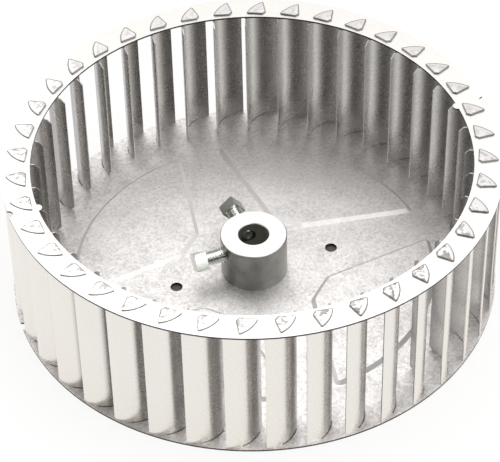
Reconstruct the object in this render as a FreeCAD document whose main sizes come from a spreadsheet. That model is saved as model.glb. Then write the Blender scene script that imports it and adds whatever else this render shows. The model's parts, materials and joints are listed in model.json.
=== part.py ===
"""Single-inlet centrifugal blower wheel with forty forward-curved blades.

Millimetres. The wheel's axis is Z and its origin is on that axis, level with the lowest surface: the undersides
of the tongues folded beneath the backplate. +Z points from the backplate to the inlet ring. The two jig holes,
the ring's lugs and its notches lie on the X axis.
"""

import FreeCAD
import Part
import math
import os
import Sketcher

# Driving dimensions: alias, value in millimetres or degrees, what it is.
SIZES = [
    ("wheel_diameter", 254.0, "outside of the backplate and of the inlet ring"),
    ("wheel_width", 80.4, "backplate underside to the ring's inlet face"),
    ("sheet_backplate", 1.0, "thickness of the backplate"),
    ("sheet_ring", 1.0, "thickness of the inlet ring"),
    ("sheet_blade", 0.7, "thickness of a blade"),
    ("ring_width", 14.9, "inlet ring, from its inner edge to its outer edge"),
    ("lug_radius", 2.3, "half-round lugs on the ring's inner edge"),
    ("notch_radius", 2.5, "half-round notches in the outer edges of ring and backplate"),
    ("blade_count", 40, "blades round the wheel"),
    ("blade_radius", 16.0, "middle of the blade's sheet, about the blade's own centre line"),
    ("blade_sweep", 100.0, "angle that the blade's arc takes up"),
    ("blade_setback", 16.95, "wheel's outer edge to the blade's own centre line"),
    ("blade_heel", 2.3, "turn of the blade's outer edge from the line between the two axes"),
    ("blade_start", 1.5, "turn of the first blade from the X axis"),
    ("blade_corner", 2.3, "cut across the blade's corners inside the eye"),
    ("tongue_start", 31.5, "turn of the tongue's outer side from the line between the two axes"),
    ("tongue_sweep", 44.0, "angle that the tongue takes up on the blade's arc"),
    ("tongue_reach", 7.1, "folded tongue, from the chord of its fold to its tip"),
    ("tongue_side", 0.8, "straight side of the folded tongue before it narrows"),
    ("tongue_tip", 2.6, "width of the tongue's blunt tip"),
    ("fold_roll", 2.3, "how far the fold's sloping back reaches in from its outermost point"),
    ("fold_bevel", 0.35, "how much that slope takes off the tongue's thickness at its outermost point"),
    ("slot_play", 0.15, "clearance round a tongue in its slot"),
    ("panel_count", 4, "raised panels in the backplate"),
    ("panel_start", 45.0, "turn of the first panel's middle from the X axis"),
    ("panel_rise", 1.5, "height of the raised panels"),
    ("panel_slope", 55.0, "lean of the panels' sides from upright"),
    ("panel_setback", 31.5, "wheel's outer edge to the panel's outer arc, at the foot of its slope"),
    ("panel_inner", 37.5, "wheel axis to the panel's inner straight side"),
    ("panel_side", 24.4, "wheel axis to the line of the panel's long side"),
    ("panel_flare", 53.5, "turn of the panel's long side from its middle line"),
    ("panel_round_out", 3.0, "rounding of the panel's outer corners"),
    ("panel_round_in", 4.5, "rounding of the panel's inner corners"),
    ("jig_spacing", 86.4, "between the two jig holes"),
    ("jig_diameter", 6.4, "jig holes"),
    ("bore_diameter", 15.875, "shaft bore, five eighths of an inch"),
    ("hub_diameter", 34.9, "outside of the hub"),
    ("hub_height", 25.4, "backplate underside to the hub's top face"),
    ("hub_break", 0.4, "edge break of the hub's rims and bore mouths"),
    ("spigot_diameter", 26.0, "hub's spigot through the backplate"),
    ("spigot_play", 0.1, "clearance between the spigot and its hole"),
    ("swage_diameter", 30.0, "rim that the spigot is spread to under the backplate"),
    ("screw_level", 17.0, "backplate underside to the setscrews' axes"),
    ("screw_turn", 3.3, "turn of the setscrews from the X and Y axes"),
    ("screw_diameter", 7.94, "setscrew thread, outside"),
    ("screw_play", 0.08, "clearance between a setscrew and its hole"),
    ("screw_length", 19.05, "setscrew from its cup point to the underside of its head"),
    ("screw_setback", 0.3, "cup point behind the bore's wall"),
    ("screw_point", 1.1, "bevel round the cup point"),
    ("cup_diameter", 4.0, "mouth of the hollow in the cup point"),
    ("cup_depth", 1.2, "depth of that hollow"),
    ("head_flats", 9.2, "setscrew head, across flats"),
    ("head_height", 6.4, "setscrew head along the screw"),
    ("head_bevel", 0.3, "bevel of the head's corners at its end, along the screw"),
    ("head_bevel_in", 0.6, "how far that bevel cuts in from the corners"),
    ("head_twist_1", 38.2, "turn of the first setscrew's head about its own axis"),
    ("head_twist_2", 50.5, "turn of the second setscrew's head about its own axis"),
]

# Levels and sizes that follow from the driving dimensions.
DERIVED = [
    ("eye_diameter", "=wheel_diameter - 2 * ring_width"),
    ("blade_centre", "=wheel_diameter / 2 - blade_setback"),
    ("panel_outer", "=wheel_diameter / 2 - panel_setback"),
    ("plate_underside", "=sheet_blade"),
    ("plate_face", "=plate_underside + sheet_backplate"),
    ("ring_face", "=plate_underside + wheel_width"),
    ("ring_underside", "=ring_face - sheet_ring"),
    ("tongue_face", "=ring_face + sheet_blade"),
    ("hub_face", "=plate_underside + hub_height"),
    ("blade_outer", "=blade_radius + sheet_blade / 2"),
    ("blade_inner", "=blade_radius - sheet_blade / 2"),
    ("slot_margin", "=slot_play / blade_radius * 180 / pi"),
    ("panel_shift", "=sheet_backplate * tan((90 - panel_slope) / 2)"),
    ("screw_axis_level", "=plate_underside + screw_level"),
    ("screw_tip_place", "=bore_diameter / 2 + screw_setback"),
    ("head_across", "=head_flats * sqrt(2)"),
]

# Direction of each setscrew from the wheel's axis.
SCREW_TURNS = {
    1: "180 + sizes.screw_turn",
    2: "90 + sizes.screw_turn",
}

doc = FreeCAD.newDocument("blower_wheel")
Z_AXIS = FreeCAD.Vector(0, 0, 1)


def make_sheet():
    """Put the driving dimensions, and what follows from them, in the spreadsheet."""
    sheet = doc.addObject("Spreadsheet::Sheet", "sizes")
    rows = [(alias, str(value), note) for alias, value, note in SIZES]
    rows += [(alias, formula, "") for alias, formula in DERIVED]
    for row, (alias, content, note) in enumerate(rows, start=1):
        sheet.set(f"A{row}", alias)
        sheet.set(f"B{row}", content)
        sheet.set(f"C{row}", note)
        sheet.setAlias(f"B{row}", alias)
    doc.recompute()
    return sheet


sizes = make_sheet()


def value(formula):
    """Number that a formula over the sheet's aliases gives."""
    return float(sizes.evalExpression(formula))


def bind(item, bindings):
    """Tie properties of an object to the sheet: a dictionary of property and formula."""
    for name, formula in bindings.items():
        item.setExpression(name, formula)


def new_body(label):
    body = doc.addObject("PartDesign::Body", label)
    body.Label = label
    return body


def origin_item(body, role):
    return next(item for item in body.Origin.OriginFeatures if item.Role == role)


def new_sketch(body, name, level="0", start="0", shift="0", twist="0", upright=False):
    """Sketch on a level plane, or on an upright one with Y pointing up.

    Its own origin lies a shift away from the wheel's axis, in the direction start, and its X axis is turned by
    start + twist.
    """
    sketch = body.newObject("Sketcher::SketchObject", name)
    sketch.AttachmentSupport = (origin_item(body, "XY_Plane"), [""])
    sketch.MapMode = "FlatFace"
    place = f"vector(({shift}) * cos({start}); ({shift}) * sin({start}); {level})"
    rotation = f"rotationz({start} + {twist})"
    if upright:
        rotation += " * rotationx(90)"
    bind(sketch, {"AttachmentOffset": f"placement({place}; {rotation})"})
    return sketch


def dimension(sketch, kind, *places, size):
    """Driving dimension of a sketch, with its formula."""
    angle = kind == "Angle"
    number = math.radians(value(size)) if angle else value(size)
    index = sketch.addConstraint(Sketcher.Constraint(kind, *places, number))
    sketch.setExpression(f"Constraints[{index}]", size)


def draw_line(sketch, start, end):
    return sketch.addGeometry(Part.LineSegment(FreeCAD.Vector(*start, 0), FreeCAD.Vector(*end, 0)), False)


def draw_arc(sketch, centre, radius, first, last):
    """Arc between two angles in degrees, anticlockwise."""
    round_line = Part.Circle(FreeCAD.Vector(*centre, 0), Z_AXIS, radius)
    return sketch.addGeometry(Part.ArcOfCircle(round_line, math.radians(first), math.radians(last)), False)


def draw_circle(sketch, radius, along="0"):
    """Circle about the sketch's origin, or about a point on its X axis."""
    centre = FreeCAD.Vector(value(along), 0, 0)
    index = sketch.addGeometry(Part.Circle(centre, Z_AXIS, value(radius)), False)
    if along == "0":
        sketch.addConstraint(Sketcher.Constraint("Coincident", index, 3, -1, 1))
    else:
        sketch.addConstraint(Sketcher.Constraint("PointOnObject", index, 3, -1))
        if value(along) > 0:
            dimension(sketch, "DistanceX", -1, 1, index, 3, size=along)
        else:
            dimension(sketch, "DistanceX", index, 3, -1, 1, size=f"-({along})")
    dimension(sketch, "Radius", index, size=radius)


def draw_polygon(sketch, corners):
    """Closed outline of straight sides, each corner placed from the sketch's origin by two formulas."""
    points = [(value(across), value(along)) for across, along in corners]
    lines = [draw_line(sketch, begin, end) for begin, end in zip(points, points[1:] + points[:1])]
    for last, number, (across, along) in zip(lines[-1:] + lines, lines, corners):
        sketch.addConstraint(Sketcher.Constraint("Coincident", last, 2, number, 1))
        for kind, formula, axis in (("DistanceX", across, -2), ("DistanceY", along, -1)):
            if abs(value(formula)) < 1e-9:
                sketch.addConstraint(Sketcher.Constraint("PointOnObject", number, 1, axis))
            elif value(formula) > 0:
                dimension(sketch, kind, -1, 1, number, 1, size=formula)
            else:
                dimension(sketch, kind, number, 1, -1, 1, size=f"-({formula})")


def pad(body, name, sketch, length, lean=None):
    """Raise a sketch by a length; lean makes its sides slope inward."""
    feature = body.newObject("PartDesign::Pad", name)
    feature.Profile = sketch
    bind(feature, {"Length": length})
    if lean:
        bind(feature, {"TaperAngle": f"-({lean})"})
    body.Tip = feature
    return feature


def pocket(body, name, sketch, depth=None, lean=None, both_ways=False):
    """Cut upward from a sketch, to a depth or right through; or right through both ways."""
    feature = body.newObject("PartDesign::Pocket", name)
    feature.Profile = sketch
    if both_ways:
        feature.SideType = "Symmetric"
    else:
        feature.Reversed = True
    if depth:
        bind(feature, {"Length": depth})
    else:
        feature.Type = "ThroughAll"
    if lean:
        bind(feature, {"TaperAngle": f"-({lean})"})
    body.Tip = feature
    return feature


def repeat_round(body, name, originals, count):
    """Repeat features evenly round the wheel's axis."""
    feature = body.newObject("PartDesign::PolarPattern", name)
    feature.Originals = originals
    feature.Axis = (origin_item(body, "Z_Axis"), [""])
    feature.Angle = 360.0
    bind(feature, {"Occurrences": count})
    body.Tip = feature
    return feature


def arc_strip(body, name, level, start, twist, sweep, outer, inner):
    """Sketch of a strip between two arcs about the blade's own centre line."""
    sketch = new_sketch(body, name, level, start, "sizes.blade_centre", twist)
    last = value(sweep)
    rims = [value(outer), value(inner)]
    ends = [[(rim * math.cos(math.radians(turn)), rim * math.sin(math.radians(turn))) for turn in (0, last)]
            for rim in rims]
    draw_arc(sketch, (0, 0), rims[0], 0, last)
    draw_line(sketch, ends[0][1], ends[1][1])
    draw_arc(sketch, (0, 0), rims[1], 0, last)
    draw_line(sketch, ends[1][0], ends[0][0])
    for joint in ((0, 2, 1, 1), (1, 2, 2, 2), (2, 1, 3, 1), (3, 2, 0, 1), (0, 3, -1, 1), (2, 3, -1, 1)):
        sketch.addConstraint(Sketcher.Constraint("Coincident", *joint))
    sketch.addConstraint(Sketcher.Constraint("PointOnObject", 0, 1, -1))
    sketch.addConstraint(Sketcher.Constraint("PointOnObject", 2, 1, -1))
    dimension(sketch, "Radius", 0, size=outer)
    dimension(sketch, "Radius", 2, size=inner)
    dimension(sketch, "Angle", 0, size=sweep)
    dimension(sketch, "Angle", 2, size=sweep)
    return sketch


def tongue_outline(body, name, level):
    """Sketch of a folded tongue in plan: the fold's arc, two short sides, two slanting sides and a blunt tip."""
    sketch = new_sketch(body, name, level, "0", "sizes.blade_centre", "sizes.tongue_start + sizes.tongue_sweep / 2")
    half = value("sizes.tongue_sweep / 2")
    rim = value("sizes.blade_outer")
    chord = (rim * math.cos(math.radians(half)), rim * math.sin(math.radians(half)))
    side = (chord[0] - value("sizes.tongue_side"), chord[1])
    tip = (chord[0] - value("sizes.tongue_reach"), value("sizes.tongue_tip") / 2)
    path = [chord, side, tip, (tip[0], -tip[1]), (side[0], -side[1]), (chord[0], -chord[1])]
    draw_arc(sketch, (0, 0), rim, -half, half)
    for begin, end in zip(path, path[1:]):
        draw_line(sketch, begin, end)
    for number in range(6):
        sketch.addConstraint(Sketcher.Constraint("Coincident", number, 2, (number + 1) % 6, 1))
    sketch.addConstraint(Sketcher.Constraint("Coincident", 0, 3, -1, 1))
    sketch.addConstraint(Sketcher.Constraint("Horizontal", 1))
    sketch.addConstraint(Sketcher.Constraint("Horizontal", 5))
    sketch.addConstraint(Sketcher.Constraint("Equal", 1, 5))
    sketch.addConstraint(Sketcher.Constraint("Vertical", 0, 1, 0, 2))
    sketch.addConstraint(Sketcher.Constraint("Symmetric", 3, 1, 3, 2, -1))
    dimension(sketch, "Radius", 0, size="sizes.blade_outer")
    dimension(sketch, "Angle", 0, size="sizes.tongue_sweep")
    dimension(sketch, "Distance", 1, size="sizes.tongue_side")
    dimension(sketch, "Distance", 3, size="sizes.tongue_tip")
    dimension(sketch, "DistanceX", 3, 1, 0, 2, size="sizes.tongue_reach")
    return sketch


def make_blade():
    """One blade as folded, in the place that has no turn; every blade of the wheel repeats it."""
    body = new_body("blade_pattern")
    sheet = arc_strip(body, "BladeArc", "sizes.plate_face", "0", "sizes.blade_heel", "sizes.blade_sweep",
                      "sizes.blade_outer", "sizes.blade_inner")
    web = pad(body, "BladeSheet", sheet, "sizes.ring_underside - sizes.plate_face")
    doc.recompute()
    corners = edges_where(web.Shape, is_eye_corner)
    cut = body.newObject("PartDesign::Chamfer", "EyeCorners")
    cut.Base = (web, corners)
    bind(cut, {"Size": "sizes.blade_corner"})
    body.Tip = cut
    neck = arc_strip(body, "TongueArc", "0", "0", "sizes.tongue_start", "sizes.tongue_sweep",
                     "sizes.blade_outer", "sizes.blade_inner")
    pad(body, "Necks", neck, "sizes.tongue_face")
    for end, level in (("Ring", "sizes.ring_face"), ("Plate", "0")):
        outline = tongue_outline(body, f"{end}Outline", level)
        pad(body, f"{end}Tongue", outline, "sizes.sheet_blade")
    slope_folds(body)
    return body


def slope_folds(body):
    """Slope the back of both folds down from a straight crease to the arc of the blade."""
    middle = "sizes.tongue_start + sizes.tongue_sweep / 2"
    slopes = new_sketch(body, "FoldSlopes", "0", "0", "sizes.blade_centre", middle, upright=True)
    crease = "sizes.blade_outer - sizes.fold_roll"
    beyond = "sizes.blade_outer + sizes.fold_roll"
    top = "sizes.tongue_face"
    draw_polygon(slopes, [(crease, top), (beyond, f"{top} - 2 * sizes.fold_bevel"), (beyond, top)])
    draw_polygon(slopes, [(crease, "0"), (beyond, "0"), (beyond, "2 * sizes.fold_bevel")])
    pocket(body, "Folds", slopes, both_ways=True)


def edges_where(shape, test):
    return [f"Edge{number}" for number, edge in enumerate(shape.Edges, start=1) if test(edge)]


def is_eye_corner(edge):
    """Short edge through the sheet at the blade's end inside the eye."""
    middle = edge.CenterOfMass
    near_axis = math.hypot(middle.x, middle.y) < value("sizes.blade_centre")
    across = abs(edge.Length - value("sizes.sheet_blade")) < 1e-3
    return across and near_axis and abs(edge.BoundBox.ZLength) < 1e-6


def cut_slots(body):
    """Arc slot for each tongue, right through the sheet."""
    slot = arc_strip(body, "SlotArc", "0", "sizes.blade_start", "sizes.tongue_start - sizes.slot_margin",
                     "sizes.tongue_sweep + 2 * sizes.slot_margin", "sizes.blade_outer + sizes.slot_play",
                     "sizes.blade_inner - sizes.slot_play")
    first = pocket(body, "Slot", slot)
    return repeat_round(body, "Slots", [first], "sizes.blade_count")


def cut_notches(body):
    """Half-round notches in the outer edge, on the X axis."""
    notches = new_sketch(body, "NotchRims", "0")
    draw_circle(notches, "sizes.notch_radius", "sizes.wheel_diameter / 2")
    draw_circle(notches, "sizes.notch_radius", "-sizes.wheel_diameter / 2")
    pocket(body, "Notches", notches)


def make_ring():
    body = new_body("inlet_ring")
    disc = new_sketch(body, "RingRims", "sizes.ring_underside")
    draw_circle(disc, "sizes.wheel_diameter / 2")
    draw_circle(disc, "sizes.eye_diameter / 2")
    pad(body, "RingSheet", disc, "sizes.sheet_ring")
    lugs = new_sketch(body, "LugRims", "sizes.ring_underside")
    draw_circle(lugs, "sizes.lug_radius", "sizes.eye_diameter / 2")
    draw_circle(lugs, "sizes.lug_radius", "-sizes.eye_diameter / 2")
    pad(body, "Lugs", lugs, "sizes.sheet_ring")
    cut_notches(body)
    cut_slots(body)
    return body


def panel_outline(body, name, level, inset):
    """Sketch of a raised panel at the foot of its slope, drawn in by an inset.

    The outer side is an arc about the wheel's axis. The long sides are straight, and so is the short inner side.
    """
    sketch = new_sketch(body, name, level, "0", "0", "sizes.panel_start")
    outer = f"sizes.panel_outer - ({inset})"
    side = f"sizes.panel_side + ({inset})"
    inner = f"sizes.panel_inner + ({inset})"
    round_out = f"sizes.panel_round_out - ({inset})"
    round_in = f"sizes.panel_round_in - ({inset})"
    flare = value("sizes.panel_flare")
    along = FreeCAD.Vector(math.cos(math.radians(flare)), math.sin(math.radians(flare)), 0)
    inward = FreeCAD.Vector(along.y, -along.x, 0)

    # Corner arc between the outer side and a long side, then the one at the inner end.
    radius = value(round_out)
    base = inward * (value(side) + radius)
    reach = math.sqrt((value(outer) - radius) ** 2 - base.Length ** 2)
    far = base + along * reach
    far_turn = math.degrees(math.atan2(far.y, far.x))
    small = value(round_in)
    near_base = inward * (value(side) + small)
    near = near_base + along * ((value(inner) + small - near_base.x) / along.x)

    draw_arc(sketch, (0, 0), value(outer), -far_turn, far_turn)
    draw_arc(sketch, (far.x, far.y), radius, far_turn, flare + 90)
    draw_line(sketch, tuple(far - inward * radius)[:2], tuple(near - inward * small)[:2])
    draw_arc(sketch, (near.x, near.y), small, flare + 90, 180)
    draw_line(sketch, (value(inner), near.y), (value(inner), -near.y))
    draw_arc(sketch, (near.x, -near.y), small, 180, 270 - flare)
    mirror = [(place.x, -place.y) for place in (near - inward * small, far - inward * radius)]
    draw_line(sketch, mirror[0], mirror[1])
    draw_arc(sketch, (far.x, -far.y), radius, 270 - flare, 360 - far_turn)
    for number in range(8):
        sketch.addConstraint(Sketcher.Constraint("Tangent", number, 2, (number + 1) % 8, 1))
    sketch.addConstraint(Sketcher.Constraint("Coincident", 0, 3, -1, 1))
    sketch.addConstraint(Sketcher.Constraint("Equal", 1, 7))
    sketch.addConstraint(Sketcher.Constraint("Equal", 3, 5))
    sketch.addConstraint(Sketcher.Constraint("Vertical", 4))
    dimension(sketch, "Radius", 0, size=outer)
    dimension(sketch, "Radius", 1, size=round_out)
    dimension(sketch, "Radius", 3, size=round_in)
    dimension(sketch, "DistanceX", -1, 1, 4, 1, size=inner)
    dimension(sketch, "Distance", -1, 1, 2, size=side)
    dimension(sketch, "Distance", -1, 1, 6, size=side)
    dimension(sketch, "Angle", 2, size="sizes.panel_flare - 180")
    dimension(sketch, "Angle", 6, size="-sizes.panel_flare")
    return sketch


def make_backplate():
    body = new_body("backplate")
    disc = new_sketch(body, "PlateRim", "sizes.plate_underside")
    draw_circle(disc, "sizes.wheel_diameter / 2")
    pad(body, "PlateSheet", disc, "sizes.sheet_backplate")
    raised = panel_outline(body, "PanelFoot", "sizes.plate_face", "0")
    rise = pad(body, "Panel", raised, "sizes.panel_rise", "sizes.panel_slope")
    repeat_round(body, "Panels", [rise], "sizes.panel_count")
    sunk = panel_outline(body, "HollowFoot", "sizes.plate_underside", "sizes.panel_shift")
    hollow = pocket(body, "Hollow", sunk, "sizes.panel_rise", "sizes.panel_slope")
    repeat_round(body, "Hollows", [hollow], "sizes.panel_count")
    holes = new_sketch(body, "HoleRims", "0")
    draw_circle(holes, "sizes.spigot_diameter / 2 + sizes.spigot_play")
    draw_circle(holes, "sizes.jig_diameter / 2", "sizes.jig_spacing / 2")
    draw_circle(holes, "sizes.jig_diameter / 2", "-sizes.jig_spacing / 2")
    pocket(body, "Holes", holes)
    cut_notches(body)
    cut_slots(body)
    return body


def make_hub():
    """Hub turned with its spigot and swaged rim, then drilled for the two setscrews."""
    body = new_body("hub_turning")
    bore = "sizes.bore_diameter / 2"
    hub = "sizes.hub_diameter / 2"
    swage = "sizes.swage_diameter / 2"
    spigot = "sizes.spigot_diameter / 2"
    nick = "sizes.hub_break"
    turn_profile(body, [
        (f"{bore} + {nick}", "0"),
        (f"{swage} - {nick}", "0"),
        (swage, nick),
        (swage, "sizes.plate_underside"),
        (spigot, "sizes.plate_underside"),
        (spigot, "sizes.plate_face"),
        (hub, "sizes.plate_face"),
        (hub, f"sizes.hub_face - {nick}"),
        (f"{hub} - {nick}", "sizes.hub_face"),
        (f"{bore} + {nick}", "sizes.hub_face"),
        (bore, f"sizes.hub_face - {nick}"),
        (bore, nick),
    ])
    drills = []
    for number, turn in SCREW_TURNS.items():
        drill = new_item("Part::Cylinder", f"screw_drill_{number}")
        bind(drill, {"Radius": "sizes.screw_diameter / 2 + sizes.screw_play", "Height": "sizes.hub_diameter"})
        lay_outward(drill, turn, "0")
        drills.append(drill)
    holes = new_item("Part::MultiFuse", "screw_holes")
    holes.Shapes = drills
    drilled = new_item("Part::Cut", "hub")
    drilled.Base = body
    drilled.Tool = holes
    return drilled


def new_item(kind, label):
    item = doc.addObject(kind, label)
    item.Label = label
    return item


def turn_profile(body, corners):
    """Turn an outline of straight sides, given from the axis and up it, about the body's Z axis."""
    profile = new_sketch(body, "Profile", upright=True)
    draw_polygon(profile, corners)
    turning = body.newObject("PartDesign::Revolution", "Turning")
    turning.Profile = profile
    turning.ReferenceAxis = (origin_item(body, "Z_Axis"), [""])
    turning.Angle = 360.0
    body.Tip = turning


def lay_outward(item, turn, along, twist="0"):
    """Lay an upright object down at the setscrews' level, pointing away from the wheel's axis."""
    place = f"vector(({along}) * cos({turn}); ({along}) * sin({turn}); sizes.screw_axis_level)"
    rotation = f"rotationz({turn}) * rotationy(90) * rotationz({twist})"
    bind(item, {"Placement": f"placement({place}; {rotation})"})


def make_setscrew(number, turn):
    """Square-head setscrew: turned upright on its point, milled square at its head and laid in its hole."""
    body = new_body(f"screw_turning_{number}")
    shank = "sizes.screw_diameter / 2"
    corner = "sizes.head_across / 2"
    top = "sizes.screw_length + sizes.head_height"
    turn_profile(body, [
        ("0", "sizes.cup_depth"),
        ("sizes.cup_diameter / 2", "0"),
        (f"{shank} - sizes.screw_point", "0"),
        (shank, "sizes.screw_point"),
        (shank, "sizes.screw_length"),
        (corner, "sizes.screw_length"),
        (corner, f"{top} - sizes.head_bevel"),
        (f"{corner} - sizes.head_bevel_in", top),
        ("0", top),
    ])
    square = new_item("Part::Box", f"screw_square_{number}")
    bind(square, {
        "Length": "sizes.head_flats",
        "Width": "sizes.head_flats",
        "Height": top,
        "Placement.Base.x": "-sizes.head_flats / 2",
        "Placement.Base.y": "-sizes.head_flats / 2",
    })
    screw = new_item("Part::Common", f"setscrew_{number}")
    screw.Base = body
    screw.Tool = square
    lay_outward(screw, turn, "sizes.screw_tip_place", f"sizes.head_twist_{number}")
    return screw


def place_blades(pattern):
    """One linked blade for every step round the wheel."""
    blades = []
    for number in range(int(value("sizes.blade_count"))):
        blade = new_item("App::Link", f"blade_{number + 1:02d}")
        blade.LinkedObject = pattern
        turn = f"sizes.blade_start + {number} * 360 / sizes.blade_count"
        bind(blade, {"Placement": f"placement(vector(0; 0; 0); rotationz({turn}))"})
        blades.append(blade)
    return blades


def check_document():
    """Stop if any object failed or any piece isn't one sound solid."""
    for item in doc.Objects:
        if "Invalid" in item.State or "Error" in item.State:
            raise RuntimeError(f"{item.Label} failed: {item.State}")
    for item in pieces:
        shape = Part.getShape(item)
        if shape.isNull() or not shape.isValid() or len(shape.Solids) != 1:
            raise RuntimeError(f"{item.Label} is not one valid solid")


pieces = [make_backplate(), make_ring(), make_hub()]
pieces += place_blades(make_blade())
pieces += [make_setscrew(number, turn) for number, turn in SCREW_TURNS.items()]
doc.recompute()
check_document()

os.makedirs("parts", exist_ok=True)
for item in pieces:
    Part.getShape(item).exportStep(f"parts/{item.Label}.step")
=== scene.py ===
import json
import math

import bpy
from mathutils import Matrix, Vector


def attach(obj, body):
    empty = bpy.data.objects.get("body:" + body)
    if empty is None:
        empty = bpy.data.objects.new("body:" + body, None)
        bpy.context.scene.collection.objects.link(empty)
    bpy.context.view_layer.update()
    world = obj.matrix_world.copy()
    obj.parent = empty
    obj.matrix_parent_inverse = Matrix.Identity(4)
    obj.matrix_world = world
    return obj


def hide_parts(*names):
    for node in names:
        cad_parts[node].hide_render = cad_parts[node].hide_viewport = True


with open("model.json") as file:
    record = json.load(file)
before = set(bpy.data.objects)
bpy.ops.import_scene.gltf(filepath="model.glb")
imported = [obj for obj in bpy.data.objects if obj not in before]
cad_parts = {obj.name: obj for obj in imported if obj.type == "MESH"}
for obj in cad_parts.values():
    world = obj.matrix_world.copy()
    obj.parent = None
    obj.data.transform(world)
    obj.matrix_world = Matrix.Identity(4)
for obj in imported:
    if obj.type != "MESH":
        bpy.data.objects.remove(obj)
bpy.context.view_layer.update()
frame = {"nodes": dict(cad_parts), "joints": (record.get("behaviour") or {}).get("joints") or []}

# Blower wheel of coated sheet steel on a white table. Metres, in the wheel's own frame: its axis is Z, and
# the backplate lies at the bottom. Named angles are in degrees.
MM = 0.001

# Wheel: the ring's upper face, the outer radius, the hub's end and its bore.
RING_FACE = 81.1 * MM
RIM_RADIUS = 127 * MM
HUB_FACE = 26.1 * MM
BORE_RADIUS = 7.94 * MM

# Blades: how many, the first one's turn round the wheel, the wheel radius of a blade's own centre line, and
# the radii about that line of the sheet's middle and of its back.
BLADE_COUNT = 40
BLADE_START = 1.5
BLADE_CENTRE = 110.05 * MM
BLADE_MIDDLE = 16.0 * MM
BLADE_OUTER = 16.35 * MM

# Folded tongues, from a blade's own centre line: the turn of their middle and half their sweep, the places of
# fold and tip, half the tip's width, how much wider a side gets with each step from the tip, and half the
# full width.
FOLD_TURN = 53.5
FOLD_HALF_SWEEP = 22.5
FOLD_CREASE = 14.05 * MM
FOLD_TIP = 8.06 * MM
FOLD_TIP_HALF = 1.3 * MM
FOLD_SIDE_SLOPE = 0.765
FOLD_HALF_WIDTH = 6.12 * MM

# Setscrews: their sizes, the level of their axes, the point's distance from the wheel's axis, and each head's
# turn about the screw's axis. The thread's flanks rise more steeply than an even wave, which leaves a narrow
# flat at root and crest.
SCREW_PITCH = 25.4 / 18 * MM
SCREW_SIZES = {
    "Radius": 3.97 * MM,
    "Length": 19.05 * MM,
    "Pitch": SCREW_PITCH,
    "Thread Depth": 0.6 * SCREW_PITCH,
    "Point": 1.1 * MM,
    "Cup Radius": 2.0 * MM,
    "Cup Depth": 1.2 * MM,
    "Head Flats": 9.2 * MM,
    "Head Height": 6.4 * MM,
    "Head Bevel": 0.3 * MM,
    "Head Bevel In": 0.6 * MM}
THREAD_STEEPNESS = 1.35
THREAD_ROOT = 0.12
SCREW_LEVEL = 17.7 * MM
SCREW_TIP_PLACE = 8.2375 * MM
HEAD_TWIST = {"setscrew_1": 38.2, "setscrew_2": 50.5}

# Fineness of the screws' mesh, and of shading: faces that meet at less than this angle are shaded as one.
SCREW_SIDES = 72
THREAD_RINGS = 150
BEVEL_RINGS = 6
SMOOTH_ANGLE = 28

# Faces told apart by the upright part of the way they look: next to none on sheared edges, most of it on the
# panels' slopes, and all of it on the flats.
UPRIGHT_BELOW = 0.3
SLOPE_LEVEL = 0.815
SLOPE_SPAN = 0.115

# The middle range of a noise pattern, over which a finish changes.
PATTERN_LOW = 0.3
PATTERN_HIGH = 0.7

# Sheet finish: sizes and shares of the coating's patterns, the tone at which it is palest, size, value and
# half width of the scuffs' lines, share of the pale tone on stretched sheet and what its roughness gains, and
# the width of the painted shade along the blades' feet.
GRAIN = 1.3 * MM
FINE_GRAIN = 1.2 * MM
CLOUD = 15 * MM
GRAIN_SHARE = 0.22
FINE_SHARE = 0.4
CLOUD_SHARE = 0.38
PALE_TONE = 0.68
SCUFF = 11 * MM
SCUFF_VALUE = 0.56
SCUFF_HALF = 0.012
STRETCHED_SHARE = 0.8
STRETCHED_DULLING = 0.1
FOOT_SHADE_WIDTH = 0.3 * MM
BARE_STEEL = "#4E4B48"
PALE_SHEET = "#F7F6F5"

# Blades' backs: wheel radii and share of the painted shade in the channels between blades, and of the
# painted highlight along the outer edge.
CHANNEL_SHADE_FROM = 114 * MM
CHANNEL_SHADE_FULL = 118 * MM
CHANNEL_SHADE_SHARE = 0.6
EDGE_LIGHT_FROM = 120 * MM
EDGE_LIGHT_FULL = 122.5 * MM
EDGE_LIGHT_SHARE = 0.9
CHANNEL_SHADE_GREY = "#8E8A86"
EDGE_LIGHT_WHITE = "#F6F2EB"

# Folded tongues: size of the creases, their height against the coating's grain, and the values of their
# pattern between which the painted shade on the creases sets in. Then that shade's reach from the fold, its
# shares at the fold and past that reach, the way to the side of the wheel where it is strongest, how far out
# that side ends, and the least share opposite it.
CREASE = 3.0 * MM
CREASE_HEIGHT = 30.0
CREASE_SHADE_FROM = 0.45
CREASE_SHADE_FULL = 0.6
CREASE_SHADE_REACH = 6 * MM
CREASE_SHADE_AT_FOLD = 0.9
CREASE_SHADE_AT_TIP = 0.6
SHADED_SIDE = Vector((-0.6, -0.8, 0))
SHADED_SIDE_REACH = 0.6 * RIM_RADIUS
SHADED_SIDE_LEAST = 0.3
# The painted highlight on the tongues' tops, and the grey of the painted shade on their creases.
TONGUE_TOP_LIGHT = "#F6F5F4"
CREASE_SHADE_GREY = "#857F7A"

# The tongues' dark rim, painted shade round their edges: its width, how much of that is full, and the shares
# of grey there and on the sheared edge.
FOLD_RIM = 0.8 * MM
RIM_CORE = 0.4
RIM_SHARE = 0.75
EDGE_SHARE = 0.8
RIM_SHADE_GREY = "#5F5B57"

# Turned steel: depth of the end's painted highlight and what its roughness gains, depth of the reamed bore's
# finish, spacing of the feed marks, and size of the stains.
END_DEPTH = 0.3 * MM
END_DULLING = 0.02
BORE_DEPTH = 0.1 * MM
FEED = 0.35 * MM
STAIN = 6 * MM

# Bright zinc: size of the handling marks.
HANDLING = 1.5 * MM

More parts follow.
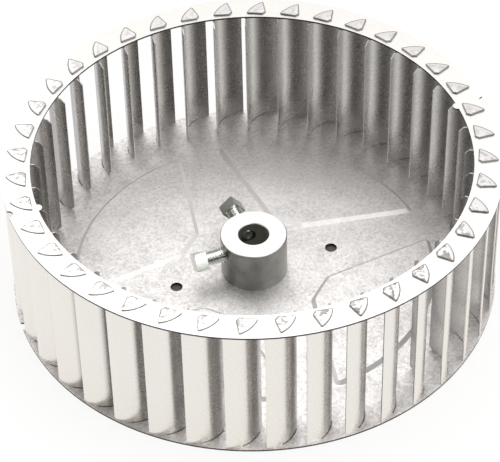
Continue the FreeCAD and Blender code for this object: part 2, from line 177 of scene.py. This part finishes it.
# Camera of the photograph: place and directions in the wheel's frame, and focal length in the photograph's
# pixels.
CAMERA_PLACE = Vector((-267.29, -816.69, 856.23)) * MM
CAMERA_RIGHT = Vector((0.94578, -0.32438, -0.01686))
CAMERA_DOWN = Vector((-0.23662, -0.65246, -0.71994))
CAMERA_FORWARD = Vector((0.22253, 0.68489, -0.69383))
SENSOR_WIDTH = 36.0
FOCAL_PIXELS = 2289.98
PHOTO_WIDTH = 500

# Table: its width, its own share of white at the wheel's foot, and shares of the wheel's outer radius. The
# painted shade under the wheel ends between the first two, and the table is full white from the third.
TABLE_WIDTH = 8
FOOT_GLOW = 0.88
SHADE_DISC_FROM = 0.94
SHADE_DISC_TO = 0.99
FULL_WHITE = 1.35

# Studio: the level way to its bright side and how far that way is raised, where along it the dim side ends
# and full white begins, the dim side's strength, the horizon's share of the strength, and the height at which
# the share is full.
BRIGHT_SIDE = Vector((0.309, 0.951, 0))
BRIGHT_RAISED = 30
DIM_TO = -0.22
WHITE_FROM = 0.05
DIM_STRENGTH = 0.05
HORIZON_SHARE = 0.55
FULL_HEIGHT = 0.68


def linear(hex_colour):
    """Linear RGBA of an sRGB hex value."""
    parts = [int(hex_colour[place:place + 2], 16) / 255 for place in (1, 3, 5)]
    bright = [part / 12.92 if part <= 0.04045 else ((part + 0.055) / 1.055) ** 2.4 for part in parts]
    return (*bright, 1.0)


def add(tree, kind, inputs=None, **settings):
    """Add a node with its settings. An input takes a value, a socket, or a node for its first output."""
    node = tree.nodes.new(kind)
    for name, choice in settings.items():
        setattr(node, name, choice)
    for socket, source in (inputs or {}).items():
        if isinstance(source, bpy.types.Node):
            source = source.outputs[0]
        if isinstance(source, bpy.types.NodeSocket):
            tree.links.new(source, node.inputs[socket])
        else:
            node.inputs[socket].default_value = source
    return node


def new_material(name):
    """Empty material, its tree, its output and the place on the piece."""
    material = bpy.data.materials.new(name)
    material.use_nodes = True
    tree = material.node_tree
    tree.nodes.clear()
    output = add(tree, "ShaderNodeOutputMaterial")
    place = add(tree, "ShaderNodeTexCoord").outputs["Object"]
    return material, tree, output, place


def product(tree, first, *others):
    """Product of factors. Of shares, it is one only where all of them are one."""
    result = first
    for other in others:
        result = add(tree, "ShaderNodeMath", {0: result, 1: other}, operation="MULTIPLY")
    return result


def paint_over(tree, colour, coats):
    """Lay coats of a hex colour over a colour, one after the other, each by its own share."""
    for share, coat in coats:
        mixed = add(tree, "ShaderNodeMix", {0: share, 6: colour, 7: linear(coat)}, data_type="RGBA")
        colour = mixed.outputs[2]
    return colour


def finish_metal(tree, output, colour, roughness, height, strength):
    """Metal with a shallow bump."""
    bump = add(tree, "ShaderNodeBump", {"Height": height, "Strength": strength, "Distance": 0.1 * MM})
    shader = add(tree, "ShaderNodeBsdfPrincipled", {"Base Color": colour, "Roughness": roughness,
                                                    "Metallic": 1.0, "Normal": bump})
    tree.links.new(shader.outputs["BSDF"], output.inputs["Surface"])


def from_axis(tree, x, y):
    """Distance from an upright axis, from the two level parts of a place."""
    level = add(tree, "ShaderNodeCombineXYZ", {"X": x, "Y": y})
    return add(tree, "ShaderNodeVectorMath", {0: level}, operation="LENGTH").outputs["Value"]


def from_blade_centre(tree, place):
    """Distance from the nearest blade's own centre line, turn from its folds' middle, and wheel radius."""
    parts = add(tree, "ShaderNodeSeparateXYZ", {"Vector": place})
    radius = from_axis(tree, parts.outputs["X"], parts.outputs["Y"])
    turn = add(tree, "ShaderNodeMath", {0: parts.outputs["Y"], 1: parts.outputs["X"]}, operation="ARCTAN2")
    turn = add(tree, "ShaderNodeMath", {0: turn, 1: math.radians(BLADE_START)}, operation="SUBTRACT")
    turn = add(tree, "ShaderNodeMath", {0: turn, 1: math.tau / BLADE_COUNT}, operation="FLOORED_MODULO")
    cosine = add(tree, "ShaderNodeMath", {0: turn}, operation="COSINE")
    sine = add(tree, "ShaderNodeMath", {0: turn}, operation="SINE")
    x = add(tree, "ShaderNodeMath", {0: radius, 1: cosine, 2: -BLADE_CENTRE}, operation="MULTIPLY_ADD")
    y = add(tree, "ShaderNodeMath", {0: radius, 1: sine}, operation="MULTIPLY")
    slant = add(tree, "ShaderNodeMath", {0: y, 1: x}, operation="ARCTAN2")
    slant = add(tree, "ShaderNodeMath", {0: slant, 1: math.radians(FOLD_TURN)}, operation="SUBTRACT")
    return from_axis(tree, x, y), slant, radius


def coating(tree, place, dark, light, rough, swing):
    """Colour, roughness and height of a zinc-aluminium coating.

    It freezes in grains of 1 to 2 mm that differ a little in tone and gloss, under clouds of some 15 mm
    from handling.
    """
    grain = add(tree, "ShaderNodeTexVoronoi", {"Vector": place, "Scale": 1 / GRAIN}, feature="F1")
    grain = add(tree, "ShaderNodeSeparateColor", {"Color": grain.outputs["Color"]}).outputs["Red"]
    fine = add(tree, "ShaderNodeTexNoise", {"Vector": place, "Scale": 1 / FINE_GRAIN, "Detail": 3.0})
    cloud = add(tree, "ShaderNodeTexNoise", {"Vector": place, "Scale": 1 / CLOUD, "Detail": 4.0})
    tone = 0.0
    for pattern, share in ((grain, GRAIN_SHARE), (fine, FINE_SHARE), (cloud, CLOUD_SHARE)):
        tone = add(tree, "ShaderNodeMath", {0: pattern, 1: share, 2: tone}, operation="MULTIPLY_ADD")
    pale = add(tree, "ShaderNodeMapRange", {"Value": tone, "From Min": PATTERN_LOW, "From Max": PALE_TONE})
    colour = paint_over(tree, linear(dark), [(pale, light)])
    roughness = add(tree, "ShaderNodeMapRange", {"Value": tone, "From Min": PATTERN_LOW,
                                                 "From Max": PATTERN_HIGH, "To Min": rough + swing,
                                                 "To Max": rough - swing})
    return colour, roughness, fine


def facing(tree):
    """How far a face looks straight up or down, and one on the sheet's sheared edges, which stand upright."""
    normal = add(tree, "ShaderNodeNewGeometry").outputs["Normal"]
    height = add(tree, "ShaderNodeSeparateXYZ", {"Vector": normal}).outputs["Z"]
    level = add(tree, "ShaderNodeMath", {0: height}, operation="ABSOLUTE")
    return level, add(tree, "ShaderNodeMath", {0: level, 1: UPRIGHT_BELOW}, operation="LESS_THAN")


def slotted_sheet(name, dark, light, rough, scuffs, foot_shade):
    """Zinc-aluminium coated sheet steel of backplate and ring, hot dipped and rolled.

    The sheared edges show uncoated steel and are dull. On the panels' slopes the sheet was stretched, and is
    paler and less glossy. Scuffs is the share of fine pale marks from stacking and sliding, and the last share
    that of a thin dark line of painted shade along the blades' feet.
    """
    material, tree, output, place = new_material(name)
    colour, roughness, height = coating(tree, place, dark, light, rough, swing=0.06)
    level, edge = facing(tree)
    slope = add(tree, "ShaderNodeMath", {0: level, 1: SLOPE_LEVEL, 2: SLOPE_SPAN}, operation="COMPARE")

    # A scuff is the line along which a twisted noise passes one value.
    marks = add(tree, "ShaderNodeTexNoise", {"Vector": place, "Scale": 1 / SCUFF, "Detail": 8.0,
                                             "Roughness": 0.65, "Distortion": 1.2})
    marks = add(tree, "ShaderNodeMath", {0: marks, 1: SCUFF_VALUE}, operation="SUBTRACT")
    marks = add(tree, "ShaderNodeMath", {0: marks}, operation="ABSOLUTE")
    scuff = add(tree, "ShaderNodeMapRange", {"Value": marks, "From Max": SCUFF_HALF, "To Min": scuffs,
                                             "To Max": 0.0}, interpolation_type="SMOOTHSTEP")

    # A thin dark line of painted shade along each blade's foot, on the sheet beside its back.
    distance, slant, _ = from_blade_centre(tree, place)
    half = FOOT_SHADE_WIDTH / 2
    beside = add(tree, "ShaderNodeMath", {0: distance, 1: BLADE_OUTER + half, 2: half}, operation="COMPARE")
    sweep = math.radians(FOLD_HALF_SWEEP)
    along = add(tree, "ShaderNodeMath", {0: slant, 1: 0.0, 2: sweep}, operation="COMPARE")
    # Uncoated sheared edges, and the painted shade along the blades' feet, in one dark grey.
    uncoated_and_foot_shade = add(tree, "ShaderNodeMath", {0: edge, 1: product(tree, beside, along, foot_shade)}, operation="MAXIMUM")

    stretched = product(tree, slope, STRETCHED_SHARE)
    colour = paint_over(tree, colour, [(stretched, PALE_SHEET), (scuff, PALE_SHEET), (uncoated_and_foot_shade, BARE_STEEL)])
    roughness = add(tree, "ShaderNodeMath", {0: slope, 1: STRETCHED_DULLING, 2: roughness},
                    operation="MULTIPLY_ADD")
    finish_metal(tree, output, colour, roughness, height, strength=0.24)
    return material


def room_on_tongue(tree, distance, across, along):
    """Distance to a folded tongue's nearest edge: a slanting side, a straight side, the tip or the fold."""
    from_tip = add(tree, "ShaderNodeMath", {0: across, 1: FOLD_TIP}, operation="SUBTRACT")
    half_width = add(tree, "ShaderNodeMath", {0: from_tip, 1: FOLD_SIDE_SLOPE, 2: FOLD_TIP_HALF},
                     operation="MULTIPLY_ADD")
    room = add(tree, "ShaderNodeMath", {0: half_width, 1: along}, operation="SUBTRACT")
    room = add(tree, "ShaderNodeMath", {0: room, 1: math.hypot(1, FOLD_SIDE_SLOPE)}, operation="DIVIDE")
    from_side = add(tree, "ShaderNodeMath", {0: FOLD_HALF_WIDTH, 1: along}, operation="SUBTRACT")
    from_fold = add(tree, "ShaderNodeMath", {0: BLADE_OUTER, 1: distance}, operation="SUBTRACT")
    for other in (from_side, from_tip, from_fold):
        room = add(tree, "ShaderNodeMath", {0: room, 1: other}, operation="MINIMUM")
    return room


def blade_sheet(name, dark, light, rough):
    """The same coated sheet as bent into blades.

    The backs carry painted shade, a grey band in the channels between blades, and a painted highlight, near
    white along the outer edge. The tongues above the ring are flattened with a hammer and creased; their tops
    are painted near white as a painted highlight, with painted shade in grey on the creases and toward the
    fold, and a dark rim of painted shade round their edges.
    """
    material, tree, output, place = new_material(name)
    colour, roughness, height = coating(tree, place, dark, light, rough, swing=0.02)
    distance, slant, radius = from_blade_centre(tree, place)
    _, edge = facing(tree)

    back = add(tree, "ShaderNodeMath", {0: distance, 1: BLADE_MIDDLE}, operation="GREATER_THAN")
    # Painted shade: the backs turn grey in the channels between blades.
    channel_shade = add(tree, "ShaderNodeMapRange", {"Value": radius, "From Min": CHANNEL_SHADE_FROM, "From Max": CHANNEL_SHADE_FULL,
                                            "To Max": CHANNEL_SHADE_SHARE}, interpolation_type="SMOOTHSTEP")
    # Painted highlight: the backs turn near white along the outer edge.
    edge_light = add(tree, "ShaderNodeMapRange", {"Value": radius, "From Min": EDGE_LIGHT_FROM,
                                              "From Max": EDGE_LIGHT_FULL, "To Max": EDGE_LIGHT_SHARE},
                 interpolation_type="SMOOTHSTEP")

    level = add(tree, "ShaderNodeSeparateXYZ", {"Vector": place}).outputs["Z"]
    above = add(tree, "ShaderNodeMath", {0: level, 1: RING_FACE + 0.02 * MM}, operation="GREATER_THAN")
    cosine = add(tree, "ShaderNodeMath", {0: slant}, operation="COSINE")
    sine = add(tree, "ShaderNodeMath", {0: slant}, operation="SINE")
    across = product(tree, distance, cosine)
    along = add(tree, "ShaderNodeMath", {0: product(tree, distance, sine)}, operation="ABSOLUTE")
    inside = add(tree, "ShaderNodeMath", {0: across, 1: FOLD_CREASE}, operation="LESS_THAN")
    flat = product(tree, inside, above)

    creases = add(tree, "ShaderNodeTexNoise", {"Vector": place, "Scale": 1 / CREASE, "Detail": 2.0,
                                               "Distortion": 1.0})
    height = add(tree, "ShaderNodeMath", {0: product(tree, creases, flat), 1: CREASE_HEIGHT, 2: height},
                 operation="MULTIPLY_ADD")
    # Painted shade on the creases, strongest toward the fold and on one side of the wheel.
    side = add(tree, "ShaderNodeVectorMath", {0: place, 1: SHADED_SIDE}, operation="DOT_PRODUCT")
    shaded_side = add(tree, "ShaderNodeMapRange", {"Value": side.outputs["Value"], "From Min": -SHADED_SIDE_REACH,
                                                "From Max": SHADED_SIDE_REACH, "To Min": SHADED_SIDE_LEAST},
                   interpolation_type="SMOOTHSTEP")
    creased = add(tree, "ShaderNodeMapRange", {"Value": creases, "From Min": CREASE_SHADE_FROM,
                                               "From Max": CREASE_SHADE_FULL}, interpolation_type="SMOOTHSTEP")
    folded = add(tree, "ShaderNodeMapRange", {"Value": across, "From Min": FOLD_CREASE - CREASE_SHADE_REACH,
                                              "From Max": FOLD_CREASE, "To Min": CREASE_SHADE_AT_TIP,
                                              "To Max": CREASE_SHADE_AT_FOLD}, interpolation_type="SMOOTHSTEP")
    # Painted shade: a dark rim round each tongue's edges, with the uncoated sheared edges in the same grey.
    room = room_on_tongue(tree, distance, across, along)
    rim = add(tree, "ShaderNodeMapRange", {"Value": room, "From Min": RIM_CORE * FOLD_RIM,
                                           "From Max": FOLD_RIM, "To Min": RIM_SHARE, "To Max": 0.0},
              interpolation_type="SMOOTHSTEP")
    rim = add(tree, "ShaderNodeMath", {0: product(tree, edge, EDGE_SHARE), 1: rim}, operation="MAXIMUM")

    # The tongues' tops, above the ring's face, get a painted highlight in near white.
    colour = paint_over(tree, colour, [
        (product(tree, back, channel_shade), CHANNEL_SHADE_GREY),
        (product(tree, back, edge_light), EDGE_LIGHT_WHITE),
        (above, TONGUE_TOP_LIGHT),
        (product(tree, creased, shaded_side, folded, flat), CREASE_SHADE_GREY),
        (product(tree, rim, above), RIM_SHADE_GREY)])
    finish_metal(tree, output, colour, roughness, height, strength=0.02)
    return material


def turned_steel(name, dark, light, end_highlight, reamed, rough, swing):
    """Free-cutting steel, turned and plated a dull grey, its end cut flat and its bore reamed bright. The
    end's near white is a painted highlight, for the light it catches from above.

    The feed marks are rings about 0.35 mm apart, so that they show. A fine feed is nearer 0.1 mm.
    """
    material, tree, output, place = new_material(name)
    parts = add(tree, "ShaderNodeSeparateXYZ", {"Vector": place})
    radius = from_axis(tree, parts.outputs["X"], parts.outputs["Y"])
    along = add(tree, "ShaderNodeMath", {0: radius, 1: parts.outputs["Z"]}, operation="ADD")
    feed = add(tree, "ShaderNodeTexNoise", {"W": along, "Scale": 1 / FEED, "Detail": 2.0},
               noise_dimensions="1D")
    stain = add(tree, "ShaderNodeTexNoise", {"Vector": place, "Scale": 1 / STAIN, "Detail": 4.0})
    stained = add(tree, "ShaderNodeMapRange", {"Value": stain, "From Min": PATTERN_LOW,
                                               "From Max": PATTERN_HIGH})
    end = add(tree, "ShaderNodeMath", {0: parts.outputs["Z"], 1: HUB_FACE - END_DEPTH},
              operation="GREATER_THAN")
    bore = add(tree, "ShaderNodeMath", {0: radius, 1: BORE_RADIUS + BORE_DEPTH}, operation="LESS_THAN")
    # The end gets a painted highlight in near white.
    colour = paint_over(tree, linear(dark), [(stained, light), (end, end_highlight), (bore, reamed)])
    roughness = add(tree, "ShaderNodeMath", {0: stained, 1: 2 * swing, 2: rough - swing},
                    operation="MULTIPLY_ADD")
    roughness = add(tree, "ShaderNodeMath", {0: end, 1: END_DULLING, 2: roughness}, operation="MULTIPLY_ADD")
    finish_metal(tree, output, colour, roughness, feed, strength=0.08)
    return material


def bright_zinc(name, dark, light, rough, swing):
    """Electroplated zinc, cleared: bright, slightly green, with faint handling marks."""
    material, tree, output, place = new_material(name)
    marks = add(tree, "ShaderNodeTexNoise", {"Vector": place, "Scale": 1 / HANDLING, "Detail": 4.0})
    marked = add(tree, "ShaderNodeMapRange", {"Value": marks, "From Min": PATTERN_LOW,
                                              "From Max": PATTERN_HIGH})
    colour = paint_over(tree, linear(dark), [(marked, light)])
    roughness = add(tree, "ShaderNodeMath", {0: marked, 1: 2 * swing, 2: rough - swing},
                    operation="MULTIPLY_ADD")
    finish_metal(tree, output, colour, roughness, marks, strength=0.04)
    return material


def smoothing_tree():
    """Geometry nodes that join a piece's loose triangles and shade its curved faces smooth."""
    tree = bpy.data.node_groups.new("SmoothCurvedFaces", "GeometryNodeTree")
    for direction in ("INPUT", "OUTPUT"):
        tree.interface.new_socket("Geometry", in_out=direction, socket_type="NodeSocketGeometry")
    start = add(tree, "NodeGroupInput")
    merged = add(tree, "GeometryNodeMergeByDistance", {"Geometry": start, "Distance": 0.002 * MM})
    angle = add(tree, "GeometryNodeInputMeshEdgeAngle").outputs["Unsigned Angle"]
    gentle = add(tree, "FunctionNodeCompare", {0: angle, 1: math.radians(SMOOTH_ANGLE)}, data_type="FLOAT",
                 operation="LESS_THAN")
    faces = add(tree, "GeometryNodeSetShadeSmooth", {"Geometry": merged, "Shade Smooth": True}, domain="FACE")
    edges = add(tree, "GeometryNodeSetShadeSmooth", {"Geometry": faces, "Shade Smooth": gentle},
                domain="EDGE")
    add(tree, "NodeGroupOutput", {0: edges})
    return tree


def dress(name, material, smooth):
    """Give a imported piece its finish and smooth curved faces."""
    item = frame["nodes"][name]
    item.data.materials.clear()
    item.data.materials.append(material)
    modifier = item.modifiers.new("Smooth", "NODES")
    modifier.node_group = smooth


def screw_tree(smooth):
    """Geometry nodes that make a square-head setscrew, standing on its point.

    A closed cylinder of many rings is reshaped ring by ring: the cup's rim, the tapered point and the rolled
    thread, the head's underside, and the head with its bevelled end.
    """
    tree = bpy.data.node_groups.new("ThreadedSetscrew", "GeometryNodeTree")
    for name in SCREW_SIZES:
        tree.interface.new_socket(name, in_out="INPUT", socket_type="NodeSocketFloat")
    tree.interface.new_socket("Material", in_out="INPUT", socket_type="NodeSocketMaterial")
    tree.interface.new_socket("Geometry", in_out="OUTPUT", socket_type="NodeSocketGeometry")
    size = add(tree, "NodeGroupInput").outputs

    # Rings are counted from the cup's rim. The thread's follow it, then the underside, and last the bevel's.
    thread_first = 1
    thread_last = thread_first + THREAD_RINGS
    bevel_first = thread_last + 2
    bevel_last = bevel_first + BEVEL_RINGS
    rod = add(tree, "GeometryNodeMeshCylinder", {"Vertices": SCREW_SIDES, "Side Segments": bevel_last,
                                                 "Radius": 1.0, "Depth": bevel_last},
              fill_type="TRIANGLE_FAN")
    parts = add(tree, "ShaderNodeSeparateXYZ", {"Vector": add(tree, "GeometryNodeInputPosition")})
    x, y, z = (parts.outputs[part] for part in "XYZ")
    ring = add(tree, "ShaderNodeMath", {0: z, 1: bevel_last / 2}, operation="ADD")

    threaded = add(tree, "ShaderNodeMapRange", {"Value": ring, "From Min": thread_first,
                                                "From Max": thread_last, "To Max": size["Length"]})
    turn = add(tree, "ShaderNodeMath", {0: y, 1: x}, operation="ARCTAN2")
    phase = add(tree, "ShaderNodeMath", {0: threaded, 1: size["Pitch"]}, operation="DIVIDE")
    phase = add(tree, "ShaderNodeMath", {0: turn, 1: -1 / math.tau, 2: phase}, operation="MULTIPLY_ADD")
    phase = add(tree, "ShaderNodeMath", {0: phase, 1: 1.0}, operation="FLOORED_MODULO")
    crest = add(tree, "ShaderNodeMath", {0: phase, 1: 0.5}, operation="SUBTRACT")
    crest = add(tree, "ShaderNodeMath", {0: crest}, operation="ABSOLUTE")
    flank = add(tree, "ShaderNodeMath", {0: crest, 1: 2 * THREAD_STEEPNESS, 2: -THREAD_ROOT},
                operation="MULTIPLY_ADD", use_clamp=True)
    root = add(tree, "ShaderNodeMath", {0: size["Radius"], 1: size["Thread Depth"]}, operation="SUBTRACT")
    shank = add(tree, "ShaderNodeMath", {0: flank, 1: size["Thread Depth"], 2: root},
                operation="MULTIPLY_ADD")
    short = add(tree, "ShaderNodeMath", {0: size["Point"], 1: threaded}, operation="SUBTRACT")
    short = add(tree, "ShaderNodeMath", {0: short, 1: 0.0}, operation="MAXIMUM")
    taper = add(tree, "ShaderNodeMath", {0: size["Radius"], 1: short}, operation="SUBTRACT")
    shank = add(tree, "ShaderNodeMath", {0: shank, 1: taper}, operation="MINIMUM")

    top = add(tree, "ShaderNodeMath", {0: size["Length"], 1: size["Head Height"]}, operation="ADD")
    bevel_start = add(tree, "ShaderNodeMath", {0: top, 1: size["Head Bevel"]}, operation="SUBTRACT")
    bevelled = add(tree, "ShaderNodeMapRange", {"Value": ring, "From Min": bevel_first,
                                                "From Max": bevel_last, "To Min": bevel_start, "To Max": top})
    inward = add(tree, "ShaderNodeMapRange", {"Value": ring, "From Min": bevel_first, "From Max": bevel_last,
                                              "To Max": size["Head Bevel In"]})
    corner = add(tree, "ShaderNodeMath", {0: size["Head Flats"], 1: math.sqrt(0.5)}, operation="MULTIPLY")
    cone = add(tree, "ShaderNodeMath", {0: corner, 1: inward}, operation="SUBTRACT")
    wide = add(tree, "ShaderNodeMath", {0: x}, operation="ABSOLUTE")
    deep = add(tree, "ShaderNodeMath", {0: y}, operation="ABSOLUTE")
    wide = add(tree, "ShaderNodeMath", {0: wide, 1: deep}, operation="MAXIMUM")
    square = add(tree, "ShaderNodeMath", {0: size["Head Flats"], 1: 0.5}, operation="MULTIPLY")
    square = add(tree, "ShaderNodeMath", {0: square, 1: wide}, operation="DIVIDE")
    head = add(tree, "ShaderNodeMath", {0: square, 1: cone}, operation="MINIMUM")

    at_cup = add(tree, "ShaderNodeMath", {0: ring, 1: thread_first - 0.5}, operation="LESS_THAN")
    at_head = add(tree, "ShaderNodeMath", {0: ring, 1: thread_last + 0.5}, operation="GREATER_THAN")
    at_bevel = add(tree, "ShaderNodeMath", {0: ring, 1: bevel_first - 0.5}, operation="GREATER_THAN")
    radius = add(tree, "GeometryNodeSwitch", {"Switch": at_head, "False": shank, "True": head},
                 input_type="FLOAT")
    radius = add(tree, "GeometryNodeSwitch", {"Switch": at_cup, "False": radius, "True": size["Cup Radius"]},
                 input_type="FLOAT")
    height = add(tree, "GeometryNodeSwitch", {"Switch": at_bevel, "False": threaded, "True": bevelled},
                 input_type="FLOAT")
    centre = add(tree, "ShaderNodeMath", {0: from_axis(tree, x, y), 1: 0.5}, operation="LESS_THAN")
    hollow = product(tree, centre, at_cup, size["Cup Depth"])
    height = add(tree, "ShaderNodeMath", {0: height, 1: hollow}, operation="ADD")
    spot = add(tree, "ShaderNodeCombineXYZ", {"X": product(tree, x, radius), "Y": product(tree, y, radius),
                                              "Z": height})

    shaped = add(tree, "GeometryNodeSetPosition", {"Geometry": rod, "Position": spot})
    smoothed = add(tree, "GeometryNodeGroup", {"Geometry": shaped}, node_tree=smooth)
    whole = add(tree, "GeometryNodeRealizeInstances", {"Geometry": smoothed})
    painted = add(tree, "GeometryNodeSetMaterial", {"Geometry": whole, "Material": size["Material"]})
    add(tree, "NodeGroupOutput", {0: painted})
    return tree


def make_screw(name, direction, tree, material):
    """Make a setscrew, and lay it in its hole with its point toward the wheel's axis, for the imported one."""
    screw = bpy.data.objects.new(f"{name}_threaded", bpy.data.meshes.new(f"{name}_blank"))
    bpy.context.scene.collection.objects.link(screw)
    modifier = screw.modifiers.new("Screw", "NODES")
    modifier.node_group = tree
    for socket in tree.interface.items_tree:
        if socket.in_out == "INPUT":
            modifier[socket.identifier] = SCREW_SIZES.get(socket.name, material)
    finished = screw.evaluated_get(bpy.context.evaluated_depsgraph_get())
    data = bpy.data.meshes.new_from_object(finished)
    screw.modifiers.remove(modifier)
    screw.data = data

    heading = math.atan2(direction.y, direction.x)
    laid = Matrix.Rotation(heading, 4, "Z") @ Matrix.Rotation(math.pi / 2, 4, "Y")
    laid = laid @ Matrix.Rotation(math.radians(HEAD_TWIST[name]), 4, "Z")
    place = Vector((direction.x * SCREW_TIP_PLACE, direction.y * SCREW_TIP_PLACE, SCREW_LEVEL))
    data.transform(Matrix.Translation(place) @ laid)
    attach(screw, name)
    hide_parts(name)


def make_floor():
    """White table, white to the camera and in the metal, with a soft shadow at the wheel's foot.

    Under the wheel the table is painted grey as painted shade, which shows through the wheel's two small
    holes.
    """
    bpy.ops.mesh.primitive_plane_add(size=TABLE_WIDTH, location=(0, 0, 0))
    floor = bpy.context.object
    floor.name = "table"
    material, tree, output, place = new_material("white_table")
    radius = add(tree, "ShaderNodeVectorMath", {0: place}, operation="LENGTH").outputs["Value"]
    outside = add(tree, "ShaderNodeMapRange", {"Value": radius, "From Min": SHADE_DISC_FROM * RIM_RADIUS,
                                               "From Max": SHADE_DISC_TO * RIM_RADIUS},
                  interpolation_type="SMOOTHSTEP")
    glow_share = add(tree, "ShaderNodeMapRange", {"Value": radius, "From Min": SHADE_DISC_TO * RIM_RADIUS,
                                                  "From Max": FULL_WHITE * RIM_RADIUS, "To Min": FOOT_GLOW},
                     interpolation_type="SMOOTHSTEP")
    path = add(tree, "ShaderNodeLightPath")
    seen = path.outputs["Is Camera Ray"]
    for ray in ("Is Glossy Ray", "Is Transmission Ray"):
        seen = add(tree, "ShaderNodeMath", {0: seen, 1: path.outputs[ray]}, operation="MAXIMUM")
    # Painted shade: the table is grey under the wheel and white beyond it.
    colour = paint_over(tree, linear("#5E5C59"), [(outside, "#F7F3E6")])
    diffuse = add(tree, "ShaderNodeBsdfDiffuse", {"Color": colour})
    glow = add(tree, "ShaderNodeEmission", {"Color": linear("#FFFFFF"), "Strength": 1.0})
    share = product(tree, seen, glow_share, outside)
    mixed = add(tree, "ShaderNodeMixShader", {0: share, 1: diffuse, 2: glow})
    tree.links.new(mixed.outputs[0], output.inputs["Surface"])
    floor.data.materials.append(material)


def make_world():
    """Studio with white sides and ceiling, open to a dim room in front; white to the camera."""
    world = bpy.data.worlds.new("studio")
    bpy.context.scene.world = world
    world.use_nodes = True
    tree = world.node_tree
    tree.nodes.clear()
    raised = math.radians(BRIGHT_RAISED)
    toward = BRIGHT_SIDE * math.cos(raised) + Vector((0, 0, math.sin(raised)))
    direction = add(tree, "ShaderNodeTexCoord").outputs["Generated"]
    side = add(tree, "ShaderNodeVectorMath", {0: direction, 1: toward}, operation="DOT_PRODUCT")
    strength = add(tree, "ShaderNodeMapRange", {"Value": side.outputs["Value"], "From Min": DIM_TO,
                                                "From Max": WHITE_FROM, "To Min": DIM_STRENGTH},
                   interpolation_type="SMOOTHSTEP")
    height = add(tree, "ShaderNodeSeparateXYZ", {"Vector": direction}).outputs["Z"]
    share = add(tree, "ShaderNodeMapRange", {"Value": height, "From Max": FULL_HEIGHT,
                                             "To Min": HORIZON_SHARE}, interpolation_type="SMOOTHSTEP")
    strength = product(tree, strength, share)
    room = add(tree, "ShaderNodeBackground", {"Color": linear("#FCFAFA"), "Strength": strength})
    white = add(tree, "ShaderNodeBackground", {"Color": linear("#FFFFFF"), "Strength": 1.0})
    path = add(tree, "ShaderNodeLightPath")
    mixed = add(tree, "ShaderNodeMixShader", {0: path.outputs["Is Camera Ray"], 1: room, 2: white})
    add(tree, "ShaderNodeOutputWorld", {"Surface": mixed})


def hang_lamp(name, place, aim, width, height, power):
    """Soft rectangular lamp at a place, facing a point."""
    data = bpy.data.lights.new(name, "AREA")
    data.shape = "RECTANGLE"
    data.size = width
    data.size_y = height
    data.energy = power
    lamp = bpy.data.objects.new(name, data)
    lamp.location = place
    lamp.rotation_euler = (Vector(aim) - Vector(place)).to_track_quat("-Z", "Y").to_euler()
    bpy.context.scene.collection.objects.link(lamp)


def make_camera():
    """Camera at the photograph's place, without depth of field."""
    data = bpy.data.cameras.new("photo_camera")
    data.sensor_width = SENSOR_WIDTH
    data.lens = SENSOR_WIDTH * FOCAL_PIXELS / PHOTO_WIDTH
    data.clip_end = 20
    camera = bpy.data.objects.new("photo_camera", data)
    turned = Matrix((CAMERA_RIGHT, -CAMERA_DOWN, -CAMERA_FORWARD)).transposed()
    camera.matrix_world = Matrix.Translation(CAMERA_PLACE) @ turned.to_4x4()
    bpy.context.scene.collection.objects.link(camera)
    bpy.context.scene.camera = camera


plate_finish = slotted_sheet("coated_backplate_sheet", dark="#C5C2C0", light="#ECEAE8", rough=0.5,
                             scuffs=0.8, foot_shade=0.8)
ring_finish = slotted_sheet("coated_ring_sheet", dark="#EBE9E5", light="#F5F4F0", rough=0.34,
                            scuffs=0.0, foot_shade=0.0)
blade_finish = blade_sheet("coated_blade_sheet", dark="#C8C6C4", light="#D3D1CF", rough=0.28)
hub_finish = turned_steel("turned_hub_steel", dark="#8C8C88", light="#9E9E99", end_highlight="#F2F2EE",
                          reamed="#E8E8E3", rough=0.3, swing=0.04)
screw_finish = bright_zinc("bright_zinc_plate", dark="#DCE1DB", light="#EDF0EB", rough=0.15, swing=0.05)

smooth_faces = smoothing_tree()
for node in frame["nodes"]:
    if node.startswith("blade"):
        dress(node, blade_finish, smooth_faces)
dress("backplate", plate_finish, smooth_faces)
dress("inlet_ring", ring_finish, smooth_faces)
dress("hub", hub_finish, smooth_faces)
threaded_screw = screw_tree(smooth_faces)
for joint in frame["joints"]:
    make_screw(joint["child"], Vector(joint["axis"]), threaded_screw, screw_finish)

make_floor()
make_world()
hang_lamp("overhead_softbox", place=(0.6, 0.8, 3.0), aim=(0.1, 0.1, 0), width=3.6, height=1.9, power=44)
hang_lamp("front_card", place=(0.25, -1.0, 0.6), aim=(0, 0, 0.02), width=0.6, height=0.45, power=1.6)
hang_lamp("front_softbox", place=(0.35, -0.66, 1.4), aim=(0, 0, 0), width=0.7, height=0.5, power=2.4)
make_camera()

bpy.context.scene.view_settings.view_transform = "Standard"
